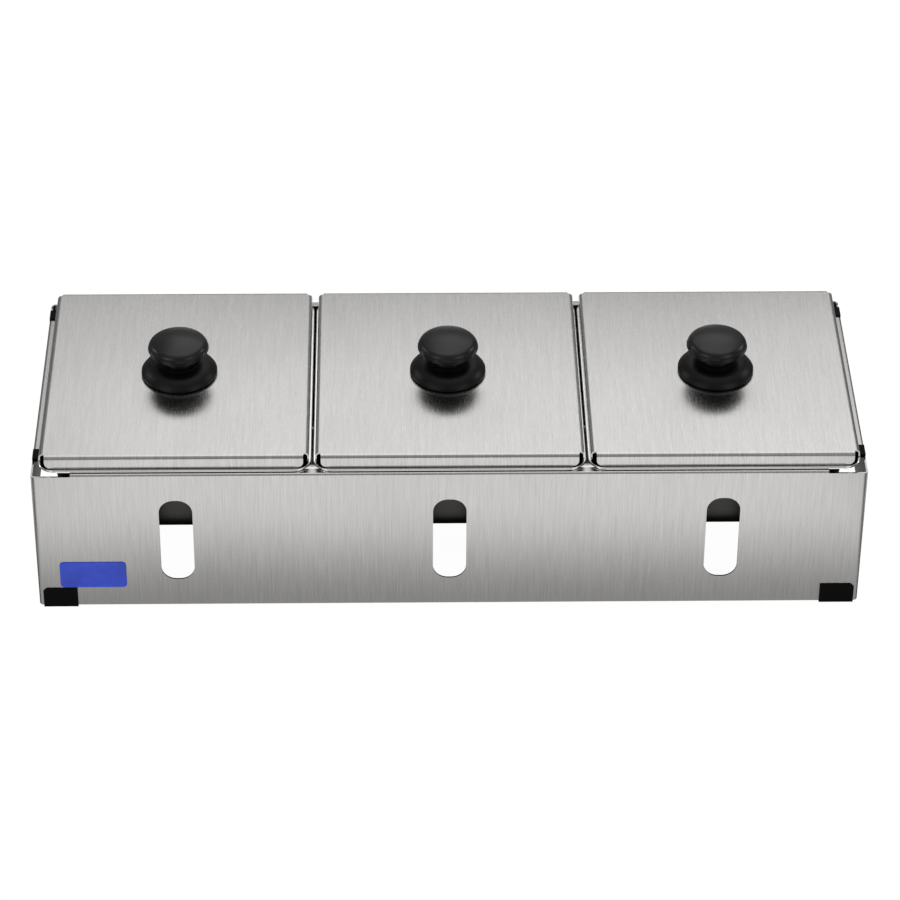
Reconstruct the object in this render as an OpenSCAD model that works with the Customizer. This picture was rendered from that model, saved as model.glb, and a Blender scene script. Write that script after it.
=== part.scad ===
// Countertop caddy: a bent steel frame that carries three lift-out pans with loose knobbed lids.
// Millimetres, +Z up, +Y to the back. Origin: centre of the footprint, on the table.

/* [Frame] */
// Distance from the outer face of each side to the rim of the next pan
end_gap = 3.6; // [3:0.05:6]
// Distance from the front and back faces to the pan rims
row_gap = 2; // [1.5:0.1:5]
// Height of the front and back flanges above the table
frame_h = 98.5; // [87:0.1:130]
// Thickness of the frame sheet
sheet_t = 1; // [0.8:0.1:1.2]
// Outer radius of the four upright bends
corner_r = 2.7; // [2:0.1:2.8]
// Outer radius of the bends along the top
flange_r = 1.5; // [1.3:0.1:2]
// Width of the top flanges, from the outer face
flange_w = 5.5; // [5:0.1:6]
// Distance from each corner to the ends of the front and back flanges
flange_end = 23.5; // [18:0.5:30]
// Distance from the front face to the first rail clip
rail_front = 17; // [10:0.5:18]
// Distance from the back face to the rear rail clip
rail_back = 9; // [7.5:0.5:16]

/* [Frame openings] */
// Width of the upright slots in the front and back walls
slot_w = 20; // [19.5:0.5:26]
// Height of the upright slots
slot_h = 59.1; // [40:0.1:62]
// Corner radius of the upright slots
slot_r = 9; // [4:0.5:9.5]
// Height of the middle of the slots above the table
slot_mid = 49.6; // [44:0.1:52]
// Depth of the rail left above each side opening
rail_h = 32; // [24:0.5:40]
// Length of the wall left beside each corner under the rail
leg_w = 36; // [24:0.5:45]
// Radius of the upper corners of the side openings
hand_r = 10; // [4:0.5:20]

/* [Pans] */
// Width of a pan over its rim
pan_w = 162.3; // [140:0.1:190]
// Depth front to back of a pan over its rim
pan_d = 178; // [150:0.5:220]
// Gap between the rims of neighbouring pans
pan_gap = 1; // [1:0.1:2]
// Height of a pan from rim top to underside
pan_h = 58.5; // [50:0.5:75]
// Thickness of the pan sheet
pan_t = 0.6; // [0.4:0.1:0.6]
// Width of the pan rim outside the walls
rim_w = 6; // [5.5:0.1:8]
// Corner radius of the rim
rim_r = 11.5; // [9:0.5:14]
// Height of the turned-down edge of the rim
rim_lip = 1.1; // [1.1:0.1:2]
// Radius where the rim turns down
rim_roll = 0.7; // [0.7:0.1:1]
// Upright corner radius of a pan at its mouth
mouth_r = 30; // [29.5:0.5:34]
// Inward lean of each wall from mouth to floor
pan_lean = 6; // [4:0.5:8]
// Radius between the walls and the floor
floor_r = 21; // [12:0.5:21]
// Radius between the rim and the walls
entry_r = 2; // [1.5:0.1:2.5]

/* [Lids] */
// Distance from the side flaps of a lid to the outer edge of the pan rim
lid_side = 1.4; // [0.8:0.05:2]
// Distance from the front and back flaps of a lid to the outer edge of the pan rim
lid_end = 2.2; // [1.5:0.1:3]
// Height of a lid from the flap edges to the top
lid_h = 8.3; // [7:0.1:10]
// Thickness of the lid sheet
lid_t = 0.8; // [0.6:0.1:1]
// Outer radius of the bends round the lid top
lid_r = 2.5; // [2:0.1:4]
// Distance from a corner of the flat to the ends of the flaps
flap_end = 0.8; // [0.5:0.1:2]
// Radius of the free corners of the flaps
flap_r = 4; // [1:0.1:4.5]
// Corner radius of the flat top
lid_corner_r = 1; // [0.5:0.1:2]

/* [Knobs] */
// Radius of the knob skirt
skirt_r = 23; // [20:0.5:26]
// Height of the top of the skirt dome above the lid
skirt_h = 7.7; // [6.5:0.1:9]
// Height of the upper edge of the skirt rim
skirt_rim = 1.9; // [1.5:0.1:2.5]
// Height of the skirt rim clear of the lid
skirt_lift = 0.6; // [0.4:0.1:1]
// Radius of the middle of the skirt where it rests on the lid
boss_r = 9; // [7:0.5:11]
// Wall thickness of the skirt
skirt_t = 2.2; // [1.8:0.1:3]
// Radius of the ring on top of the skirt
ring_r = 12.6; // [11.5:0.1:14]
// Height of the top of that ring above the lid
ring_h = 9.2; // [8.2:0.1:11]
// Radius of the knob stem
stem_r = 10.8; // [9:0.1:11.2]
// Radius of the knob cap
cap_r = 18.2; // [16:0.1:20]
// Height of the cap's widest line above the lid
cap_mid = 18.4; // [17:0.1:22]
// Rise of the cap above its widest line
cap_rise = 7.5; // [6.5:0.1:10]
// Radius of the cap's shoulder
shoulder_r = 5; // [3:0.1:6]
// Depth of the cap below its widest line
cap_under = 2.9; // [2.2:0.1:4]
// Height and half width of the thin line round the cap
ridge_t = 0.4; // [0.3:0.05:0.6]

/* [Fixings] */
// Diameter of the knob screws
screw_d = 5; // [4:0.5:6]
// Diameter of the screw heads
head_d = 9.5; // [8:0.5:11]
// Height of the screw heads
head_h = 2.6; // [2:0.1:3.5]
// Width of the cross recess in the screw heads
recess_w = 1.2; // [0.8:0.1:1.5]
// Outer diameter of the washers under the lids
washer_d = 14; // [12:0.5:18]
// Thickness of the washers
washer_t = 1; // [0.8:0.1:1.5]
// Diameter of the threaded inserts
insert_d = 8.5; // [7.5:0.5:9]
// Length of the threaded inserts
insert_h = 9; // [7:0.5:10]
// Share of an insert's length that the screw fills
thread_share = 0.8; // [0.5:0.05:0.9]

/* [Clips and badge] */
// Wall thickness of the plastic clips
clip_t = 0.8; // [0.6:0.05:1]
// Length of the foot clips
foot_len = 20.7; // [16:0.1:26]
// Height of the foot clips up the wall
foot_rise = 12.7; // [8:0.1:13]
// Distance from the frame corner to a foot clip
foot_in = 2.8; // [2.8:0.1:6]
// Size of the cut top corner of a foot clip
foot_cut = 2; // [1:0.1:4]
// Length of the rail clips
rail_clip = 9.5; // [8:0.1:18]
// Width of the badge
badge_w = 40; // [30:0.5:50]
// Height of the badge
badge_h = 18.8; // [14:0.1:24]
// Thickness of the badge
badge_t = 0.8; // [0.6:0.1:0.8]
// Distance from the left corner of the frame to the badge
badge_left = 13.6; // [8:0.1:20]
// Height of the lower edge of the badge above the table
badge_up = 14.5; // [14.2:0.1:24]
// Corner radius of the badge
badge_r = 2.5; // [1.5:0.1:4]
// Radius of the badge's soft front edge
badge_edge = 0.5; // [0.3:0.1:0.6]

/* [Fits] */
// Play under each pan rim and each lid
seat_gap = 0.3; // [0.2:0.05:0.5]
// Play round the screws in the lids and skirts
hole_gap = 0.3; // [0.2:0.05:0.5]

/* [Hidden] */
$fn = 96;
over = sheet_t;
quarter = 90;
pan_pitch = pan_w + pan_gap;
frame_w = 2 * pan_pitch + pan_w + 2 * end_gap;
frame_d = pan_d + 2 * row_gap;
lid_w = pan_w - 2 * lid_side;
lid_d = pan_d - 2 * lid_end;
wall_z = clip_t;
edge_z = frame_h - flange_r;
side_drop = clip_t;
side_edge_z = edge_z - side_drop;
rim_z = frame_h + seat_gap + rim_lip;
lid_z = rim_z + seat_gap;
knob_z = lid_z + lid_h;
half_w = frame_w / 2;
half_d = frame_d / 2;
lean_a = atan(pan_lean / (pan_h - entry_r));
flat_w = lid_w - 2 * lid_r;
flat_d = lid_d - 2 * lid_r;
axis_x = pan_w / 2 - rim_w - mouth_r;
axis_y = pan_d / 2 - rim_w - mouth_r;
dome_c = (pow(cap_r - shoulder_r, 2) - pow(cap_rise - shoulder_r, 2)) / (2 * (cap_rise - shoulder_r));
dome_r = cap_rise + dome_c;
dome_x = dome_r * (cap_r - shoulder_r) / sqrt(pow(cap_r - shoulder_r, 2) + pow(dome_c, 2));
bell_run = skirt_r - ring_r;
bell_drop = skirt_h - skirt_rim;
bell_r = (pow(bell_run, 2) + pow(bell_drop, 2)) / (2 * bell_drop);
insert_z = ring_h;
screw_top = insert_z + insert_h * thread_share;
steel = [0.76, 0.76, 0.75];
pan_steel = [0.7, 0.7, 0.69];
black = [0.06, 0.06, 0.06];
brass = [0.78, 0.62, 0.3];
badge_blue = [0.25, 0.31, 0.85];

// Outline of a rectangle with round corners, centred
module soft_rect(w, h, r) {
    square([w - 2 * r, h], center = true);
    square([w, h - 2 * r], center = true);
    for (x = [-1, 1])
        for (y = [-1, 1])
            translate([x * (w / 2 - r), y * (h / 2 - r)])
                circle(r);
}

// Section of a plate of width w with its upper edges rounded
module soft_section(w, t, r) {
    translate([-w / 2, 0])
        square([w, t - r]);
    translate([-w / 2 + r, 0])
        square([w - 2 * r, t]);
    for (x = [-1, 1])
        intersection() {
            translate([x * (w / 2 - r), t - r])
                circle(r);
            translate([-w / 2, 0])
                square([w, t]);
        }
}

// Plate with round upright corners and a rounded upper edge, standing on z = 0
module soft_plate(w, h, t, corner, edge) {
    for (x = [-1, 1])
        for (y = [-1, 1])
            translate([x * (w / 2 - corner), y * (h / 2 - corner), 0])
                rotate_extrude()
                    intersection() {
                        soft_section(2 * corner, t, edge);
                        square([corner, t]);
                    }
    rotate([quarter, 0, 0])
        linear_extrude(h - 2 * corner, center = true)
            soft_section(w, t, edge);
    rotate([quarter, 0, quarter])
        linear_extrude(w - 2 * corner, center = true)
            soft_section(h, t, edge);
}

// Section of a top flange: a quarter bend, then the flat, outer face at x = 0
module flange_section() {
    difference() {
        intersection() {
            translate([flange_r, 0])
                circle(flange_r);
            square([flange_r, flange_r]);
        }
        translate([flange_r, 0])
            circle(flange_r - sheet_t);
    }
    translate([flange_r, flange_r - sheet_t])
        square([flange_w - flange_r, sheet_t]);
}

// Quarter ring of an upright bend, its centre at the origin
module corner_bend() {
    linear_extrude(edge_z - wall_z)
        difference() {
            intersection() {
                circle(corner_r);
                translate([-corner_r, -corner_r])
                    square([corner_r, corner_r]);
            }
            circle(corner_r - sheet_t);
        }
}

// Front wall with its slots, flange and both upright bends
module long_wall() {
    difference() {
        translate([-half_w + corner_r, -half_d, wall_z])
            cube([frame_w - 2 * corner_r, sheet_t, edge_z - wall_z]);
        for (i = [-1, 0, 1])
            translate([i * pan_pitch, -half_d + sheet_t / 2, slot_mid])
                rotate([quarter, 0, 0])
                    linear_extrude(sheet_t + 2 * over, center = true)
                        soft_rect(slot_w, slot_h, slot_r);
    }
    for (s = [0, 1])
        mirror([s, 0, 0])
            translate([-half_w + corner_r, -half_d + corner_r, wall_z])
                corner_bend();
    translate([-half_w + flange_end, -half_d, edge_z])
        rotate([quarter, 0, quarter])
            linear_extrude(frame_w - 2 * flange_end)
                flange_section();
}

// Left side: a rail between two legs, open to the table, with its flange
module side_wall() {
    difference() {
        translate([-half_w, -half_d + corner_r, wall_z])
            cube([sheet_t, frame_d - 2 * corner_r, side_edge_z - wall_z]);
        translate([-half_w + sheet_t / 2, 0, edge_z - rail_h - frame_h])
            rotate([quarter, 0, quarter])
                linear_extrude(sheet_t + 2 * over, center = true)
                    soft_rect(frame_d - 2 * leg_w, 2 * frame_h, hand_r);
    }
    translate([-half_w, half_d - rail_back - clip_t, side_edge_z])
        rotate([quarter, 0, 0])
            linear_extrude(frame_d - rail_front - rail_back - 2 * clip_t)
                flange_section();
}

// Sleeve over one end of a side flange, from y0 onwards
module rail_sleeve(y0) {
    z0 = side_edge_z + flange_r;
    difference() {
        translate([-half_w, y0, z0 - sheet_t - clip_t])
            cube([flange_w + clip_t, rail_clip, sheet_t + 2 * clip_t]);
        translate([-half_w, half_d - rail_back - clip_t, side_edge_z])
            rotate([quarter, 0, 0])
                linear_extrude(frame_d - rail_front - rail_back - 2 * clip_t)
                    flange_section();
        translate([-half_w, y0 - over, wall_z])
            cube([sheet_t, rail_clip + 2 * over, side_edge_z - wall_z]);
    }
}

// Channel over the bottom edge of the front wall, near its left end
module foot_channel() {
    x0 = -half_w + foot_in;
    h = foot_rise + clip_t;
    difference() {
        translate([x0, -half_d + sheet_t + clip_t, 0])
            rotate([quarter, 0, 0])
                linear_extrude(sheet_t + 2 * clip_t)
                    polygon([
                        [0, 0],
                        [foot_len, 0],
                        [foot_len, h],
                        [foot_cut, h],
                        [0, h - foot_cut]
                    ]);
        translate([x0 - over, -half_d, wall_z])
            cube([foot_len + 2 * over, sheet_t, h]);
    }
}

module badge_plate() {
    translate([-half_w + badge_left + badge_w / 2, -half_d, badge_up + badge_h / 2])
        rotate([quarter, 0, 0])
            soft_plate(badge_w, badge_h, badge_t, badge_r, badge_edge);
}

// Half section of a pan wall and floor, from the corner axis outwards; top of the rim at y = 0.
// inset 0 gives the outer skin, inset pan_t the inner one, which runs on above the rim by top.
module pan_section(inset, top) {
    r = floor_r - inset;
    low = -pan_h + inset;
    foot = mouth_r - pan_lean - inset + inset * tan(lean_a);
    cx = foot - r * (1 - sin(lean_a)) / cos(lean_a);
    polygon([
        [0, low],
        [cx, low],
        [cx + r * cos(lean_a), low + r - r * sin(lean_a)],
        [mouth_r - inset, -entry_r],
        [mouth_r - inset, top],
        [0, top]
    ]);
    intersection() {
        translate([cx, low + r])
            circle(r);
        translate([0, low])
            square([mouth_r, r]);
    }
}

// The same section carried a little way inwards, so that the straight runs meet the middle
module pan_strip(inset, top) {
    pan_section(inset, top);
    translate([-over, -pan_h + inset])
        square([2 * over, pan_h - inset + top]);
}

// Solid inside one skin of a pan
module pan_block(inset, top) {
    for (x = [-1, 1])
        for (y = [-1, 1])
            translate([x * axis_x, y * axis_y, 0])
                rotate_extrude()
                    pan_section(inset, top);
    for (s = [0, 1])
        mirror([s, 0, 0])
            rotate([quarter, 0, 0])
                linear_extrude(2 * axis_y, center = true)
                    translate([axis_x, 0])
                        pan_strip(inset, top);
    for (s = [0, 1])
        mirror([0, s, 0])
            rotate([quarter, 0, quarter])
                linear_extrude(2 * axis_x, center = true)
                    translate([axis_y, 0])
                        pan_strip(inset, top);
    translate([-axis_x, -axis_y, -pan_h + inset])
        cube([2 * axis_x, 2 * axis_y, pan_h - inset + top]);
}

// Flare that rounds the mouth of a pan
module mouth_section() {
    translate([0, -entry_r])
        difference() {
            square([mouth_r - pan_t + entry_r, entry_r + over]);
            translate([mouth_r - pan_t + entry_r, 0])
                circle(entry_r);
        }
}

module mouth_block() {
    for (x = [-1, 1])
        for (y = [-1, 1])
            translate([x * axis_x, y * axis_y, 0])
                rotate_extrude()
                    mouth_section();
    for (s = [0, 1])
        mirror([s, 0, 0])
            rotate([quarter, 0, 0])
                linear_extrude(2 * axis_y, center = true)
                    translate([axis_x, 0])
                        mouth_section();
    for (s = [0, 1])
        mirror([0, s, 0])
            rotate([quarter, 0, quarter])
                linear_extrude(2 * axis_x, center = true)
                    translate([axis_y, 0])
                        mouth_section();
}

// One pan, the top of its rim at the height of the seat
module pan(i) {
    translate([i * pan_pitch, 0, rim_z])
        difference() {
            union() {
                translate([0, 0, -rim_lip])
                    difference() {
                        soft_plate(pan_w, pan_d, rim_lip, rim_r, rim_roll);
                        translate([0, 0, -over])
                            soft_plate(pan_w - 2 * pan_t, pan_d - 2 * pan_t, rim_lip - pan_t + over,
                                rim_r - pan_t, rim_roll - pan_t);
                    }
                pan_block(0, 0);
            }
            pan_block(pan_t, over);
            mouth_block();
        }
}

// Section of a lid flap: a tab in the flat, a quarter bend, then the upright leg
module flap_section() {
    translate([0, lid_h - lid_r])
        difference() {
            intersection() {
                circle(lid_r);
                square([lid_r, lid_r]);
            }
            circle(lid_r - lid_t);
        }
    translate([lid_r - lid_t, 0])
        square([lid_t, lid_h - lid_r]);
    translate([-over, lid_h - lid_t])
        square([over, lid_t]);
}

// Flap of length len whose bend starts at x = 0, with its free corners rounded
module flap(len) {
    intersection() {
        rotate([quarter, 0, 0])
            linear_extrude(len, center = true)
                flap_section();
        translate([-over, 0, lid_h])
            rotate([quarter, 0, quarter])
                linear_extrude(lid_r + over)
                    soft_rect(len, 2 * lid_h, flap_r);
    }
}

module lid(i) {
    translate([i * pan_pitch, 0, lid_z]) {
        difference() {
            translate([0, 0, lid_h - lid_t])
                linear_extrude(lid_t)
                    soft_rect(flat_w, flat_d, lid_corner_r);
            translate([0, 0, lid_h - lid_t - over])
                cylinder(h = lid_t + 2 * over, d = screw_d + 2 * hole_gap);
        }
        for (s = [0, 1])
            mirror([s, 0, 0])
                translate([flat_w / 2, 0, 0])
                    flap(flat_d - 2 * flap_end);
        for (s = [-1, 1])
            rotate([0, 0, s * quarter])
                translate([flat_d / 2, 0, 0])
                    flap(flat_w - 2 * flap_end);
    }
}

// Half section of the knob skirt: a bell with a hollow underside and a ring on top
module skirt_section() {
    difference() {
        union() {
            translate([0, skirt_lift])
                square([skirt_r, skirt_rim - skirt_lift]);
            intersection() {
                translate([ring_r, skirt_h - bell_r])
                    circle(bell_r);
                translate([ring_r, skirt_rim])
                    square([bell_run, bell_drop]);
            }
            translate([0, skirt_rim])
                square([ring_r, ring_h - skirt_rim]);
            square([boss_r, ring_h]);
        }
        intersection() {
            translate([ring_r, skirt_h - bell_r])
                circle(bell_r - skirt_t);
            translate([ring_r, 0])
                square([bell_run, skirt_h]);
        }
        translate([boss_r, 0])
            square([ring_r - boss_r, skirt_h - skirt_t]);
        square([screw_d / 2 + hole_gap, ring_h]);
    }
}

// Half section of the top of the knob cap: dome, shoulder and thin line
module dome_section() {
    translate([0, cap_mid])
        intersection() {
            translate([0, -dome_c])
                circle(dome_r);
            translate([0, -ridge_t])
                square([dome_x, cap_rise + ridge_t]);
        }
    translate([0, cap_mid])
        intersection() {
            translate([cap_r - shoulder_r, 0])
                circle(shoulder_r);
            translate([cap_r - shoulder_r, -ridge_t])
                square([shoulder_r, shoulder_r + ridge_t]);
        }
    translate([0, cap_mid - ridge_t])
        square([cap_r + ridge_t / 2, ridge_t]);
}

// Knob cap on its stem, with the blind bore of the insert
module cap_body() {
    difference() {
        union() {
            rotate_extrude()
                dome_section();
            translate([0, 0, cap_mid - cap_under / 2])
                cylinder(h = cap_under / 2, r = cap_r - ridge_t / 2);
            translate([0, 0, cap_mid - cap_under])
                cylinder(h = cap_under / 2, r1 = cap_r - cap_under, r2 = cap_r - ridge_t / 2);
            translate([0, 0, ring_h])
                cylinder(h = cap_mid - ring_h, r = stem_r);
        }
        translate([0, 0, ring_h - over])
            cylinder(h = insert_h + over, d = insert_d);
    }
}

module knob_at(i) {
    translate([i * pan_pitch, 0, knob_z])
        children();
}

module skirt(i) {
    knob_at(i)
        rotate_extrude()
            skirt_section();
}

module cap(i) {
    knob_at(i)
        cap_body();
}

module insert(i) {
    knob_at(i)
        difference() {
            translate([0, 0, insert_z])
                cylinder(h = insert_h, d = insert_d);
            translate([0, 0, insert_z - over])
                cylinder(h = screw_top - insert_z + over, d = screw_d);
        }
}

module screw(i) {
    low = -lid_t - washer_t;
    knob_at(i) {
        translate([0, 0, low])
            cylinder(h = screw_top - low, d = screw_d);
        difference() {
            translate([0, 0, low - head_h])
                cylinder(h = head_h, d = head_d);
            for (a = [0, quarter])
                rotate([0, 0, a])
                    translate([-screw_d / 2, -recess_w / 2, low - head_h - over])
                        cube([screw_d, recess_w, head_h / 2 + over]);
        }
    }
}

module washer(i) {
    knob_at(i)
        translate([0, 0, -lid_t - washer_t])
            difference() {
                cylinder(h = washer_t, d = washer_d);
                translate([0, 0, -over])
                    cylinder(h = washer_t + 2 * over, d = screw_d + 2 * hole_gap);
            }
}

module frame_front() {
    color(steel)
        long_wall();
}

module frame_back() {
    color(steel)
        mirror([0, 1, 0])
            long_wall();
}

module frame_left() {
    color(steel)
        side_wall();
}

module frame_right() {
    color(steel)
        mirror([1, 0, 0])
            side_wall();
}

module foot_front_left() {
    color(black)
        foot_channel();
}

module foot_front_right() {
    color(black)
        mirror([1, 0, 0])
            foot_channel();
}

module foot_back_left() {
    color(black)
        mirror([0, 1, 0])
            foot_channel();
}

module foot_back_right() {
    color(black)
        mirror([1, 0, 0])
            mirror([0, 1, 0])
                foot_channel();
}

module clip_front_left() {
    color(black)
        rail_sleeve(-half_d + rail_front);
}

module clip_front_right() {
    color(black)
        mirror([1, 0, 0])
            rail_sleeve(-half_d + rail_front);
}

module clip_back_left() {
    color(black)
        rail_sleeve(half_d - rail_back - rail_clip);
}

module clip_back_right() {
    color(black)
        mirror([1, 0, 0])
            rail_sleeve(half_d - rail_back - rail_clip);
}

module badge() {
    color(badge_blue)
        badge_plate();
}

module pan_left() {
    color(pan_steel)
        pan(-1);
}

module pan_middle() {
    color(pan_steel)
        pan(0);
}

module pan_right() {
    color(pan_steel)
        pan(1);
}

module lid_left() {
    color(steel)
        lid(-1);
}

module lid_middle() {
    color(steel)
        lid(0);
}

module lid_right() {
    color(steel)
        lid(1);
}

module skirt_left() {
    color(black)
        skirt(-1);
}

module skirt_middle() {
    color(black)
        skirt(0);
}

module skirt_right() {
    color(black)
        skirt(1);
}

module cap_left() {
    color(black)
        cap(-1);
}

module cap_middle() {
    color(black)
        cap(0);
}

module cap_right() {
    color(black)
        cap(1);
}

module insert_left() {
    color(brass)
        insert(-1);
}

module insert_middle() {
    color(brass)
        insert(0);
}

module insert_right() {
    color(brass)
        insert(1);
}

module screw_left() {
    color(steel)
        screw(-1);
}

module screw_middle() {
    color(steel)
        screw(0);
}

module screw_right() {
    color(steel)
        screw(1);
}

module washer_left() {
    color(steel)
        washer(-1);
}

module washer_middle() {
    color(steel)
        washer(0);
}

module washer_right() {
    color(steel)
        washer(1);
}

frame_front();
frame_back();
frame_left();
frame_right();
foot_front_left();
foot_front_right();
foot_back_left();
foot_back_right();
clip_front_left();
clip_front_right();
clip_back_left();
clip_back_right();
badge();
pan_left();
pan_middle();
pan_right();
lid_left();
lid_middle();
lid_right();
skirt_left();
skirt_middle();
skirt_right();
cap_left();
cap_middle();
cap_right();
insert_left();
insert_middle();
insert_right();
screw_left();
screw_middle();
screw_right();
washer_left();
washer_middle();
washer_right();
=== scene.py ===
import math

import bpy
from mathutils import Matrix, Vector

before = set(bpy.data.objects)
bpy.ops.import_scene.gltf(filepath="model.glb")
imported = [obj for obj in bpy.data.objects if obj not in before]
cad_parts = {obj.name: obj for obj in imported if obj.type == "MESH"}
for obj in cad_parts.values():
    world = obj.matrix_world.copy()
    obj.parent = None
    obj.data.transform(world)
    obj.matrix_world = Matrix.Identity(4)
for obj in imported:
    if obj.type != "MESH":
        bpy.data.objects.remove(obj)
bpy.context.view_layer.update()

# Places in the part, in metres
PAN_PITCH = 0.1633
PAN_CENTRE = 0.075
RIM_TOP = 0.0999
RIM_EDGE = 0.0005
HALF_X = 0.248
HALF_Y = 0.091
EDGE = 0.001

# Shares of the grain's spread and scale
WIDE_SCALE = 0.3
WIDE_SPREAD = 0.35
CLOUD_SPREAD = 0.25


# Node helpers
def add(t, kind, **settings):
    """A new node, with its properties and inputs set by name."""
    n = t.nodes.new(kind)
    for key, value in settings.items():
        if hasattr(n, key):
            setattr(n, key, value)
        else:
            n.inputs[key].default_value = value
    return n


def wire(t, source, target):
    """Leads a socket or a node's first output to an input, or sets a number on the input."""
    if isinstance(source, (int, float)):
        target.default_value = source
    elif isinstance(source, bpy.types.NodeSocket):
        t.links.new(source, target)
    else:
        t.links.new(source.outputs[0], target)


def math_node(t, operation, *values):
    m = add(t, "ShaderNodeMath", operation=operation)
    for value, target in zip(values, m.inputs):
        wire(t, value, target)
    return m


def vector_node(t, operation, a, b):
    m = add(t, "ShaderNodeVectorMath", operation=operation)
    wire(t, a, m.inputs[0])
    wire(t, b, m.inputs[1])
    return m


def span(t, source, low, high, a=0.3, b=0.7, smooth=False):
    """Maps a value from a..b to low..high and stops at both ends. The defaults suit a noise."""
    m = add(t, "ShaderNodeMapRange", interpolation_type="SMOOTHSTEP" if smooth else "LINEAR")
    for name, value in (("From Min", a), ("From Max", b), ("To Min", low), ("To Max", high)):
        m.inputs[name].default_value = value
    wire(t, source, m.inputs["Value"])
    return m


def split(t, vector):
    """The X, Y and Z outputs of a vector."""
    axes = add(t, "ShaderNodeSeparateXYZ")
    wire(t, vector, axes.inputs[0])
    return axes.outputs


def noise(t, scale, detail=2.0, rough=0.5):
    """Noise over the object's coordinates, with a scale for each axis."""
    mapping = add(t, "ShaderNodeMapping", Scale=scale)
    wire(t, add(t, "ShaderNodeTexCoord").outputs["Object"], mapping.inputs["Vector"])
    n = add(t, "ShaderNodeTexNoise", Scale=1.0, Detail=detail, Roughness=rough)
    wire(t, mapping, n.inputs["Vector"])
    return n.outputs["Fac"]


def relief(t, bsdf, height, strength, distance):
    bump = add(t, "ShaderNodeBump", Strength=strength, Distance=distance)
    wire(t, height, bump.inputs["Height"])
    wire(t, bump, bsdf.inputs["Normal"])


def ray_share(t, parts):
    """Sum of share times ray kind, for the Light Path outputs named."""
    path = add(t, "ShaderNodeLightPath")
    total = None
    for kind, share in parts:
        m = math_node(t, "MULTIPLY", path.outputs[kind], share)
        total = m if total is None else math_node(t, "ADD", total, m)
    return total


def number_mix(t, factor, a, b):
    """a where the factor is 0, and b where it is 1."""
    m = add(t, "ShaderNodeMix", data_type="FLOAT")
    wire(t, factor, m.inputs["Factor"])
    wire(t, a, m.inputs[2])
    wire(t, b, m.inputs[3])
    return m


def colour_mix(t, factor, a, b, blend):
    m = add(t, "ShaderNodeMix", data_type="RGBA", blend_type=blend)
    wire(t, factor, m.inputs["Factor"])
    wire(t, a, m.inputs[6])
    m.inputs[7].default_value = b
    return m.outputs[2]


# Materials
def new_material(name):
    m = bpy.data.materials.new(name)
    m.use_nodes = True
    t = m.node_tree
    return m, t, t.nodes["Principled BSDF"]


def steel(name, tone, rough, grain, across, spread=0.05, aniso=0.75, bump=0.02, warm=0.02):
    """Brushed sheet. grain scales the coordinates of the fine streaks, and across crosses them."""
    m, t, bsdf = new_material(name)
    bsdf.inputs["Metallic"].default_value = 1.0
    bsdf.inputs["Anisotropic"].default_value = aniso
    fine = noise(t, grain, detail=3.0, rough=0.65)
    wide = noise(t, [g * WIDE_SCALE for g in grain], rough=0.6)
    cloud = noise(t, (9.0, 9.0, 9.0), detail=1.0)
    value = tone
    for source, share in ((fine, 1.0), (wide, WIDE_SPREAD), (cloud, CLOUD_SPREAD)):
        value = math_node(t, "ADD", span(t, source, -spread * share, spread * share), value)
    colour = add(t, "ShaderNodeCombineColor")
    for channel, less in enumerate((0.0, warm * 0.4, warm)):
        wire(t, math_node(t, "SUBTRACT", value, less), colour.inputs[channel])
    wire(t, colour, bsdf.inputs["Base Color"])
    wire(t, span(t, fine, rough * 0.82, rough * 1.18), bsdf.inputs["Roughness"])
    relief(t, bsdf, fine, bump, 0.0004)
    tangent = add(t, "ShaderNodeCombineXYZ")
    for axis, v in zip("XYZ", across):
        tangent.inputs[axis].default_value = v
    wire(t, tangent, bsdf.inputs["Tangent"])
    return m


def textured(name, colour, rough, bump=0.06, level=0.5, metallic=0.0):
    """Moulded plastic or turned brass, with a fine texture and slightly uneven gloss."""
    m, t, bsdf = new_material(name)
    bsdf.inputs["Metallic"].default_value = metallic
    bsdf.inputs["Specular IOR Level"].default_value = level
    cloud = noise(t, (60.0, 60.0, 60.0))
    tint = add(t, "ShaderNodeVectorMath", operation="SCALE")
    tint.inputs[0].default_value = colour
    wire(t, span(t, cloud, 0.85, 1.15), tint.inputs["Scale"])
    wire(t, tint, bsdf.inputs["Base Color"])
    wire(t, span(t, cloud, rough * 0.9, rough * 1.1), bsdf.inputs["Roughness"])
    relief(t, bsdf, noise(t, (900.0, 900.0, 900.0), detail=3.0, rough=0.6), bump, 0.0002)
    return m


def repaint(m, mask, colour, rough, blend):
    """Takes the material's colour and roughness to new ones where the mask is 1."""
    t = m.node_tree
    inputs = t.nodes["Principled BSDF"].inputs
    old_colour = inputs["Base Color"].links[0].from_socket
    old_rough = inputs["Roughness"].links[0].from_socket
    wire(t, colour_mix(t, mask, old_colour, colour + (1.0,), blend), inputs["Base Color"])
    wire(t, number_mix(t, mask, old_rough, rough), inputs["Roughness"])


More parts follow.
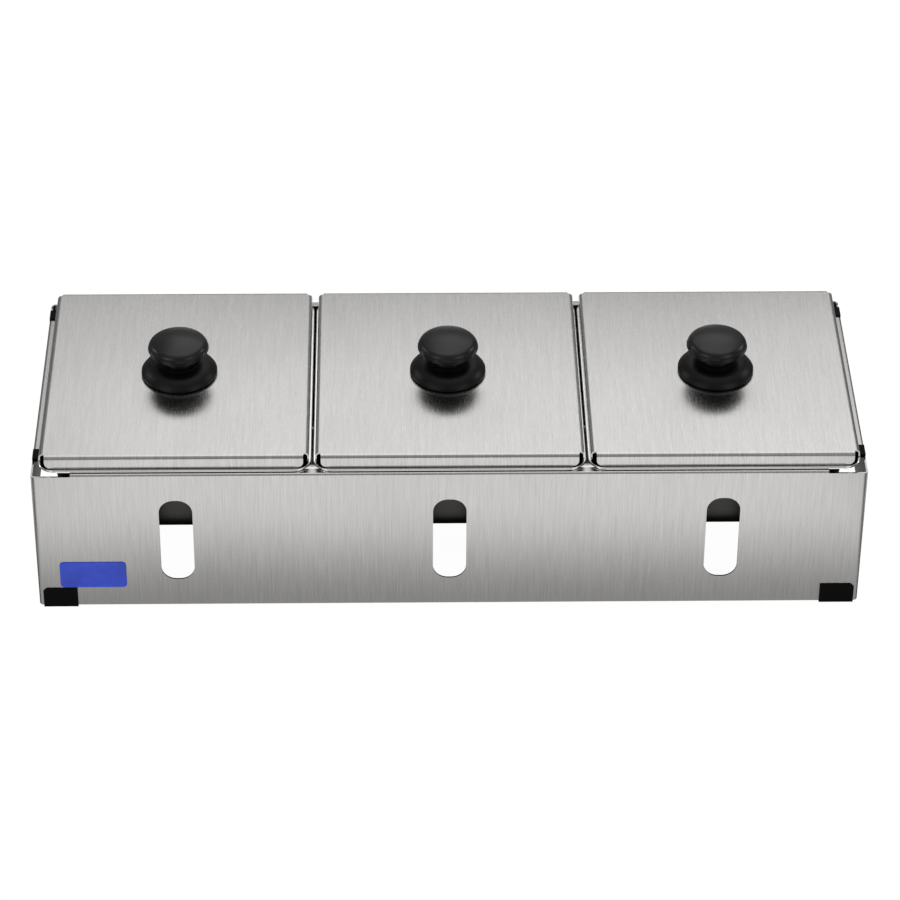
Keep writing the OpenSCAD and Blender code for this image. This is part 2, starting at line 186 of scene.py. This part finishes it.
def shade_pans(m):
    """Painted shade, darker and rougher, on the outer faces, which face away from each pan's middle, and on
    faces that look down; a painted highlight, brighter and smoother, on the rolled rim.
    """
    t = m.node_tree
    place = add(t, "ShaderNodeTexCoord")
    normal = place.outputs["Normal"]
    x, y, z = split(t, place.outputs["Object"])
    height = math_node(t, "SUBTRACT", z, PAN_CENTRE)
    away = add(t, "ShaderNodeCombineXYZ")
    wire(t, math_node(t, "WRAP", x, PAN_PITCH / 2, -PAN_PITCH / 2), away.inputs["X"])
    wire(t, y, away.inputs["Y"])
    wire(t, height, away.inputs["Z"])
    facing = vector_node(t, "DOT_PRODUCT", normal, away).outputs["Value"]
    outer = math_node(t, "GREATER_THAN", facing, 0.0)
    upward = span(t, split(t, normal)[2], 0.0, 1.0, -0.35, -0.15)
    rim_foot = RIM_TOP - PAN_CENTRE - 0.002
    at_top = span(t, height, 0.0, 1.0, rim_foot - RIM_EDGE, rim_foot)
    at_rim = math_node(t, "MULTIPLY", at_top, upward)
    hidden = math_node(t, "MAXIMUM", outer, math_node(t, "SUBTRACT", 1.0, upward))
    painted_shade = math_node(t, "MULTIPLY", hidden, math_node(t, "SUBTRACT", 1.0, at_rim))
    # Painted shade: the outer faces and the faces that look down are made darker and rougher
    repaint(m, painted_shade, (0.14, 0.14, 0.1358), 0.42, "MULTIPLY")
    # Painted highlight: the rolled rim's top is made brighter, and also smoother
    repaint(m, at_rim, (0.92, 0.92, 0.91), 0.12, "MIX")


UPRIGHT = (2200.0, 2200.0, 45.0)
ALONG_X = (1.0, 0.02, 0.0)
FLAT_X = (1.0, 0.0, 0.02)
wall = steel("wall steel", 0.605, 0.26, UPRIGHT, ALONG_X, spread=0.07)
side = steel("side steel", 0.58, 0.26, UPRIGHT, ALONG_X)
lid = steel("lid steel", 0.62, 0.24, (2400.0, 110.0, 110.0), FLAT_X, spread=0.08, bump=0.012)
pan = steel("pan steel", 0.55, 0.24, (500.0, 40.0, 500.0), FLAT_X, spread=0.03, aniso=0.3)
shade_pans(pan)
bolt = steel("screw steel", 0.55, 0.28, (300.0, 300.0, 900.0), FLAT_X, aniso=0.2)
brass = textured("insert brass", (0.78, 0.55, 0.24), 0.3, metallic=1.0)
knob = textured("knob plastic", (0.002, 0.002, 0.002), 0.36, bump=0.12)
skirt = textured("skirt plastic", (0.002, 0.002, 0.002), 0.40, bump=0.12, level=0.28)
clip = textured("clip plastic", (0.003, 0.003, 0.003), 0.5, bump=0.12, level=0.08)
badge = textured("badge plastic", (0.06, 0.13, 1.0), 0.25, bump=0.02)

# The first row that fits a node's name gives its material
finishes = (
    (("frame_front", "frame_back"), wall),
    (("frame_left", "frame_right"), side),
    (("foot_", "clip_"), clip),
    (("badge",), badge),
    (("pan_",), pan),
    (("lid_",), lid),
    (("skirt_",), skirt),
    (("cap_",), knob),
    (("insert_",), brass),
    (("screw_", "washer_"), bolt),
)
for name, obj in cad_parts.items():
    obj.data.materials.clear()
    obj.data.materials.append(next(m for starts, m in finishes if name.startswith(starts)))


# Floor: white to the camera, with the object's shadow kept
REACH = 30.0
floor_mesh = bpy.data.meshes.new("floor")
corners = [(-REACH, -REACH, 0), (REACH, -REACH, 0), (REACH, REACH, 0), (-REACH, REACH, 0)]
floor_mesh.from_pydata(corners, [], [(0, 1, 2, 3)])
floor = bpy.data.objects.new("floor", floor_mesh)
bpy.context.scene.collection.objects.link(floor)
floor_material = bpy.data.materials.new("floor")
floor_material.use_nodes = True
ft = floor_material.node_tree
ft.nodes.clear()
x, y, z = split(ft, add(ft, "ShaderNodeTexCoord").outputs["Object"])
x_size = math_node(ft, "ABSOLUTE", x)
y_size = math_node(ft, "ABSOLUTE", y)


def part_of(source, low, high, a, b):
    """low..high as the floor's coordinate goes from a to b, in metres."""
    return span(ft, source, low, high, a, b, smooth=True)


def times(a, b):
    return math_node(ft, "MULTIPLY", a, b)


# Reflections see a floor with painted light and shade: bright in front and behind, with a painted shadow
# darker at the foot of each wall
outside_y = part_of(y_size, 0.0, 1.0, HALF_Y - EDGE, HALF_Y)
inside_y = part_of(y_size, 1.0, 0.0, HALF_Y - EDGE, HALF_Y)
painted_floor_light = times(part_of(y_size, 0.40, 1.06, HALF_Y, HALF_Y + 0.105), outside_y)
# Painted light on the floor where light comes in under the side rails
ends = times(part_of(x_size, 0.0, 0.55, 0.218, 0.238), inside_y)
ends = times(ends, part_of(x_size, 1.0, 0.0, HALF_X, HALF_X + EDGE))
painted_floor_light = math_node(ft, "ADD", painted_floor_light, ends)
painted_floor_light = times(painted_floor_light, part_of(x_size, 1.0, 0.1, HALF_X, HALF_X + 0.10))
# Beside the object painted light makes it bright again, for the side walls alone
beside = times(part_of(x_size, 0.0, 0.8, HALF_X + 0.02, HALF_X + 0.15), inside_y)
painted_floor_light = math_node(ft, "ADD", painted_floor_light, beside)

# The camera sees it white, but for the full shadow along the inside of the back wall
deep = times(part_of(y, 0.0, 1.0, 0.046, 0.052), part_of(y, 1.0, 0.0, HALF_Y - EDGE, HALF_Y + EDGE))
deep = times(deep, part_of(x_size, 1.0, 0.0, 0.215, 0.235))
lit = math_node(ft, "SUBTRACT", 1.0, deep)
to_camera = times(ray_share(ft, (("Is Camera Ray", 0.93), ("Is Transmission Ray", 0.5))), lit)
to_gloss = ray_share(ft, (("Is Glossy Ray", 0.85),))
blend = add(ft, "ShaderNodeMixShader")
wire(ft, math_node(ft, "ADD", to_camera, to_gloss), blend.inputs[0])
wire(ft, add(ft, "ShaderNodeBsdfDiffuse", Color=(0.86, 0.86, 0.86, 1)), blend.inputs[1])
glow = add(ft, "ShaderNodeEmission", Color=(1, 1, 1, 1))
wire(ft, number_mix(ft, ray_share(ft, (("Is Glossy Ray", 1.0),)), 1.05, painted_floor_light), glow.inputs["Strength"])
wire(ft, glow, blend.inputs[2])
wire(ft, blend, add(ft, "ShaderNodeOutputMaterial").inputs["Surface"])
floor_mesh.materials.append(floor_material)

# World: white to the camera, a plain studio with darker sides to the rest
world = bpy.data.worlds.new("studio")
bpy.context.scene.world = world
world.use_nodes = True
wt = world.node_tree
wt.nodes.clear()
x, y, z = split(wt, add(wt, "ShaderNodeTexCoord").outputs["Generated"])
sideways = math_node(wt, "ABSOLUTE", x)
lift = math_node(wt, "MAXIMUM", span(wt, sideways, 0.45, 0.10, 0.4, 0.80), span(wt, z, 0.0, 1.0, 0.6, 0.95))
lift = math_node(wt, "MAXIMUM", lift, span(wt, sideways, 0.0, 0.75, 0.82, 0.97))
cam_share = ray_share(wt, (("Is Camera Ray", 1.0), ("Is Transmission Ray", 1.0)))
back = add(wt, "ShaderNodeBackground", Color=(1, 1, 1, 1))
wire(wt, number_mix(wt, cam_share, math_node(wt, "MULTIPLY", lift, 0.55), 1.0), back.inputs["Strength"])
wire(wt, back, add(wt, "ShaderNodeOutputWorld").inputs["Surface"])

# Lamps: name, place, point it faces, width, height, radiance. The lower edge of the rear one
# lies near the direction that the lids reflect, which shades them from front to back.
lamps = (
    ("rear key", (0.25, 1.25, 1.39), (0.25, 0, 0.1), 1.55, 0.85, 0.95),
    ("overhead", (0.17, 0.38, 1.75), (0.17, 0.38, 0), 1.7, 1.2, 0.75),
    ("front left", (-1.3, -1.3, 1.0), (0, 0, 0.05), 0.9, 0.8, 1.9),
    ("front right", (1.3, -1.3, 1.0), (0, 0, 0.05), 0.9, 0.8, 1.7),
    ("side left", (-1.45, 0.55, 0.85), (0, 0, 0.1), 0.35, 0.35, 5.0),
    ("side right", (1.45, 0.55, 0.85), (0, 0, 0.1), 0.35, 0.35, 5.0),
)
for name, at, towards, width, height, radiance in lamps:
    light = bpy.data.lights.new(name, "AREA")
    light.shape = "RECTANGLE"
    light.size = width
    light.size_y = height
    light.energy = radiance * math.pi * width * height
    lamp = bpy.data.objects.new(name, light)
    bpy.context.scene.collection.objects.link(lamp)
    lamp.location = at
    lamp.rotation_euler = (Vector(towards) - Vector(at)).to_track_quat("-Z", "Y").to_euler()
    lamp.visible_camera = False


# Camera, at the photograph's viewing angle
def set_camera(elevation, yaw, roll, distance, focal_px, along, up_shift):
    """Angles in degrees, distance from the middle of the part and offsets from it in metres."""
    el, yw, rl = (math.radians(v) for v in (elevation, yaw, roll))
    look = Vector((math.sin(yw) * math.cos(el), math.cos(yw) * math.cos(el), -math.sin(el)))
    level_right = Vector((math.cos(yw), -math.sin(yw), 0))
    level_up = level_right.cross(look)
    right = math.cos(rl) * level_right + math.sin(rl) * level_up
    up = -math.sin(rl) * level_right + math.cos(rl) * level_up
    target = Vector((0, 0, 0.0508)) + along * right + up_shift * up
    data = bpy.data.cameras.new("camera")
    data.sensor_width = 36.0
    data.lens = data.sensor_width * focal_px / 900.0
    data.clip_end = 200.0
    cam = bpy.data.objects.new("camera", data)
    bpy.context.scene.collection.objects.link(cam)
    pose = Matrix((right, up, -look)).transposed().to_4x4()
    pose.translation = target - distance * look
    cam.matrix_world = pose
    bpy.context.scene.camera = cam


set_camera(36.398, 1.1876, 0.404, 2.2744, 3675.6, 0.0017, -0.00181)
bpy.context.scene.view_settings.view_transform = "Standard"
